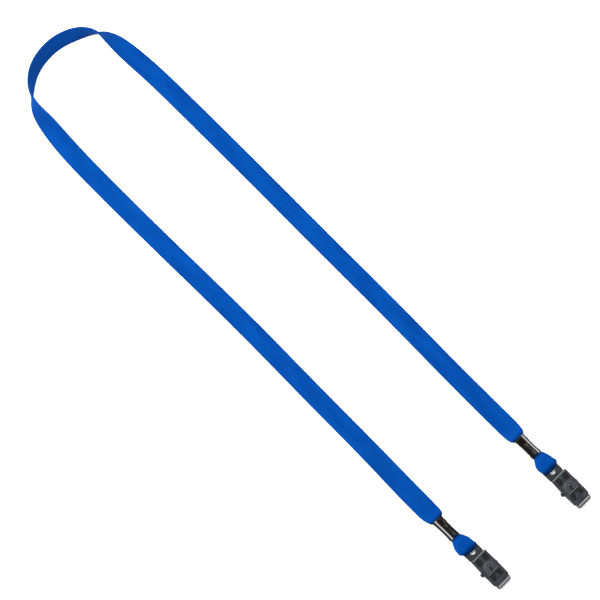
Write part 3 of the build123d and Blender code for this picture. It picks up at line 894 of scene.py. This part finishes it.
class Nodes:
    """Short names for building a material's node tree."""

    def __init__(self, name):
        self.material = bpy.data.materials.new(name)
        self.material.use_nodes = True
        self.tree = self.material.node_tree
        self.shader = self.tree.nodes["Principled BSDF"]

    def add(self, kind, **settings):
        node = self.tree.nodes.new("ShaderNode" + kind)
        for key, value in settings.items():
            setattr(node, key, value)
        return node

    def link(self, out, into):
        self.tree.links.new(out, into)

    def math(self, operation, a, b=None, clamp=False):
        node = self.add("Math", operation=operation, use_clamp=clamp)
        for socket, value in zip(node.inputs, (a, b)):
            if isinstance(value, bpy.types.NodeSocket):
                self.link(value, socket)
            elif value is not None:
                socket.default_value = value
        return node.outputs[0]

    def noise(self, vector, scale, detail=2.0, roughness=0.5):
        node = self.add("TexNoise")
        node.inputs["Scale"].default_value = scale
        node.inputs["Detail"].default_value = detail
        node.inputs["Roughness"].default_value = roughness
        if vector is not None:
            self.link(vector, node.inputs["Vector"])
        return node.outputs[0]

    def spread(self, value, low, high, to_low=0.0, to_high=1.0):
        node = self.add("MapRange")
        self.link(value, node.inputs[0])
        for i, number in enumerate((low, high, to_low, to_high)):
            node.inputs[1 + i].default_value = number
        return node.outputs[0]

    def mix(self, share, a, b):
        node = self.add("Mix", data_type="RGBA")
        for socket, value in ((node.inputs[0], share), (node.inputs[6], a), (node.inputs[7], b)):
            if isinstance(value, bpy.types.NodeSocket):
                self.link(value, socket)
            else:
                socket.default_value = value
        return node.outputs[2]

    def darken(self, colour, shade):
        node = self.add("Mix", data_type="RGBA", blend_type="MULTIPLY")
        node.inputs[0].default_value = 1
        self.link(colour, node.inputs[6])
        self.link(shade, node.inputs[7])
        return node.outputs[2]

    def stretch(self, vector, scale):
        node = self.add("Mapping")
        node.inputs["Scale"].default_value = scale
        self.link(vector, node.inputs["Vector"])
        return node.outputs[0]

    def bump(self, height, distance, strength=1.0):
        node = self.add("Bump")
        node.inputs["Strength"].default_value = strength
        node.inputs["Distance"].default_value = distance
        self.link(height, node.inputs["Height"])
        self.link(node.outputs[0], self.shader.inputs["Normal"])

    def set(self, **values):
        for key, value in values.items():
            self.shader.inputs[key.replace("_", " ")].default_value = value


def srgb(red, green, blue):
    """A display colour from 0 to 255 as the linear colour that a shader takes."""
    linear = []
    for channel in (red, green, blue):
        c = channel / 255
        linear.append(c / 12.92 if c <= 0.04045 else ((c + 0.055) / 1.055) ** 2.4)
    return (*linear, 1)


YARN = 0.5               # mm between the strap's lengthwise yarns
PICK = 0.8               # mm between crossings along a yarn


def strap_material():
    n = Nodes("strap_weave")
    uv = n.add("UVMap", uv_map="weave").outputs[0]
    parts = n.add("SeparateXYZ")
    n.link(uv, parts.inputs[0])
    across = n.math("DIVIDE", parts.outputs[0], YARN)
    column = n.math("FLOOR", across)
    parity = n.math("MODULO", column, 2)
    along = n.math("ADD", n.math("DIVIDE", parts.outputs[1], PICK), n.math("MULTIPLY", parity, 0.5))
    yarn = n.math("SINE", n.math("MULTIPLY", n.math("FRACT", across), pi))
    pick = n.math("SINE", n.math("MULTIPLY", n.math("FRACT", along), pi))
    height = n.math("MULTIPLY", n.math("POWER", yarn, 0.7), n.math("POWER", pick, 0.6))
    fibre = n.noise(n.stretch(uv, (9, 1.2, 1)), 1.0, 3)
    patches = n.noise(n.stretch(uv, (0.12, 0.035, 1)), 1.0, 3, 0.6)
    tone = n.spread(patches, 0.35, 0.65)
    cloth = n.mix(tone, srgb(0, 51, 119), srgb(1, 60, 132))
    # painted shade in the gaps between the yarns, times a random fibre tone
    shade = n.math("MULTIPLY", n.spread(height, 0, 1, 0.72, 1.0), n.spread(fibre, 0.3, 0.7, 0.93, 1.05))
    # painted shade in folds and at the crimps and slot, by fold_shade
    fold_shade = n.add("Attribute", attribute_name="fold_shade").outputs["Fac"]
    shade = n.math("MULTIPLY", shade, n.spread(fold_shade, 0, 1, 1.0, 0.3))
    n.link(n.darken(cloth, shade), n.shader.inputs["Base Color"])
    n.link(n.spread(fibre, 0.3, 0.7, 0.74, 0.88), n.shader.inputs["Roughness"])
    full = n.math("ADD", height, n.math("MULTIPLY", fibre, 0.5))
    n.bump(full, 0.12 * MM, 0.7)
    n.set(Sheen_Weight=0.06, Sheen_Roughness=0.4, Sheen_Tint=srgb(20, 110, 230), IOR=1.4)
    n.set(Specular_IOR_Level=0.03)
    return n.material


def clip_material(name="black_oxide_steel"):
    """Black-oxide steel, darker where the press sank it and lighter where it stands out, with painted shade
    on the flanges, inner faces and front wall and a painted highlight along the front bend.
    """
    n = Nodes(name)
    place = n.add("TexCoord").outputs["Object"]
    relief = n.add("Attribute", attribute_name="relief").outputs["Fac"]
    blotch = n.noise(place, 350, 4, 0.6)
    grain = n.noise(n.stretch(place, (1, 6, 1)), 2500, 2)
    plain = n.mix(n.spread(blotch, 0.35, 0.7), srgb(28, 31, 35), srgb(38, 42, 47))
    # darker below 0: the sunk pattern, and painted shade on the flanges, corners, inner faces and front
    # wall
    sunk = n.mix(n.spread(relief, -0.9, -0.1), srgb(9, 10, 12), plain)
    grain_streaks = n.spread(grain, 0.3, 0.6, 0.6, 1.0)
    raised = n.mix(n.math("MULTIPLY", n.spread(relief, 0.1, 1.0), grain_streaks), sunk, srgb(92, 96, 101))
    # values above 1 paint a highlight along the lever's front bend
    with_bend_highlight = n.mix(n.math("MULTIPLY", n.spread(relief, 1.05, 1.5), grain_streaks), raised, srgb(150, 153, 157))
    n.link(with_bend_highlight, n.shader.inputs["Base Color"])
    n.link(n.spread(blotch, 0.3, 0.7, 0.36, 0.5), n.shader.inputs["Roughness"])
    n.bump(grain, 0.02 * MM, 0.35)
    n.set(Metallic=0.25, Specular_IOR_Level=0.2)
    return n.material


def crimp_material():
    n = Nodes("gloss_black_lacquer")
    place = n.add("TexCoord").outputs["Object"]
    peel = n.noise(place, 500, 2)
    relief = n.add("Attribute", attribute_name="relief").outputs["Fac"]
    tint = n.mix(n.spread(n.noise(place, 150, 2), 0.35, 0.65), srgb(4, 4, 5), srgb(14, 9, 6))
    # relief values above 0 paint the highlight stripe along the crimp's outer flat in light grey
    n.link(n.mix(relief, tint, srgb(135, 132, 134)), n.shader.inputs["Base Color"])
    n.link(n.spread(peel, 0.3, 0.7, 0.16, 0.26), n.shader.inputs["Roughness"])
    n.bump(peel, 0.03 * MM, 0.3)
    n.set(Coat_Weight=0.05, Coat_Roughness=0.1, Specular_IOR_Level=0.08)
    return n.material


def spring_material():
    n = Nodes("spring_wire")
    place = n.add("TexCoord").outputs["Object"]
    drawn = n.noise(place, 1500, 2)
    n.link(n.mix(drawn, srgb(120, 122, 126), srgb(190, 192, 196)), n.shader.inputs["Base Color"])
    n.link(n.spread(drawn, 0.3, 0.7, 0.2, 0.32), n.shader.inputs["Roughness"])
    n.set(Metallic=1.0)
    return n.material


def floor_material():
    n = Nodes("studio_paper")
    place = n.add("TexCoord").outputs["Object"]
    paper = n.mix(n.noise(place, 30, 2), srgb(250, 250, 250), srgb(254, 254, 254))
    n.link(paper, n.shader.inputs["Base Color"])
    n.set(Roughness=0.9, Specular_IOR_Level=0.1)
    return n.material


def dress(obj, material):
    obj.data.materials.clear()
    obj.data.materials.append(material)


# --- Studio ---------------------------------------------------------------------------------------


def make_studio():
    bpy.ops.mesh.primitive_plane_add(size=8, location=(0, 0.2, 0))
    floor = bpy.context.object
    floor.name = "floor"
    dress(floor, floor_material())
    world = bpy.data.worlds.new("studio")
    bpy.context.scene.world = world
    world.use_nodes = True
    world.node_tree.nodes["Background"].inputs[0].default_value = (1, 1, 1, 1)
    world.node_tree.nodes["Background"].inputs[1].default_value = 0.6
    # name, place, size and watts of each soft light
    lights = [
        ("key", (-0.75, 1.0, 1.25), 0.7, 46),
        ("top", (0.55, 0.75, 1.7), 1.0, 30),
        ("fill", (0.9, -0.5, 0.8), 0.6, 8),
    ]
    for name, place, size, power in lights:
        data = bpy.data.lights.new(name, "AREA")
        data.size = size
        data.energy = power
        light = link(bpy.data.objects.new(name, data))
        light.location = place
        aim = Vector((0, 0.2, 0)) - Vector(place)
        light.rotation_mode = "QUATERNION"
        light.rotation_quaternion = aim.to_track_quat("-Z", "Y")
    bpy.context.scene.view_settings.view_transform = "Standard"


def place_piece(piece, body, nodes, material):
    """Gives a finished piece its material and ties it to the CAD nodes that it stands for."""
    dress(piece, material)
    if isinstance(body, str):
        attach(piece, body)
    else:
        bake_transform(piece)
    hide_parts(*nodes)


make_camera()
cloth = strap_material()
strap, strap_path = make_strap()
place_piece(strap, "neck", ["strap"], cloth)

clip_black = clip_material()
pin_black = clip_material("black_oxide_rivet")
crimp_black = crimp_material()
steel = spring_material()
for side, crimp_x, clip_x in (
    ("left", LEFT_X / MM, LEFT_CLIP_X),
    ("right", RIGHT_X / MM, RIGHT_CLIP_X),
):
    at = clip_frame(clip_x)
    clip, jaw = f"{side}_clip", f"{side}_jaw"
    crimp = make_crimp(side, crimp_x, 1 if side == "right" else -1)
    place_piece(crimp, "neck", [f"{side}_crimp"], crimp_black)
    loop = make_end_loop(side, crimp_x, clip_x)
    bend = ("neck", clip, (clip_x * MM, 0.0068, 0.002), (clip_x * MM, 0.0014, 0.002))
    place_piece(loop, bend, [f"{side}_end_loop"], cloth)
    place_piece(make_base(side, at), clip, [f"{side}_clip_base"], clip_black)
    place_piece(make_pin(side, at), clip, [f"{side}_hinge_pin"], pin_black)
    place_piece(make_lever(side, at), jaw, [f"{side}_clip_lever"], clip_black)
    coil = (clip, jaw, at @ Vector((0, 0, -COIL_RADIUS)), at @ Vector((0, 0, COIL_RADIUS)))
    place_piece(make_spring(side, at), coil, [f"{side}_clip_spring"], steel)
make_studio()
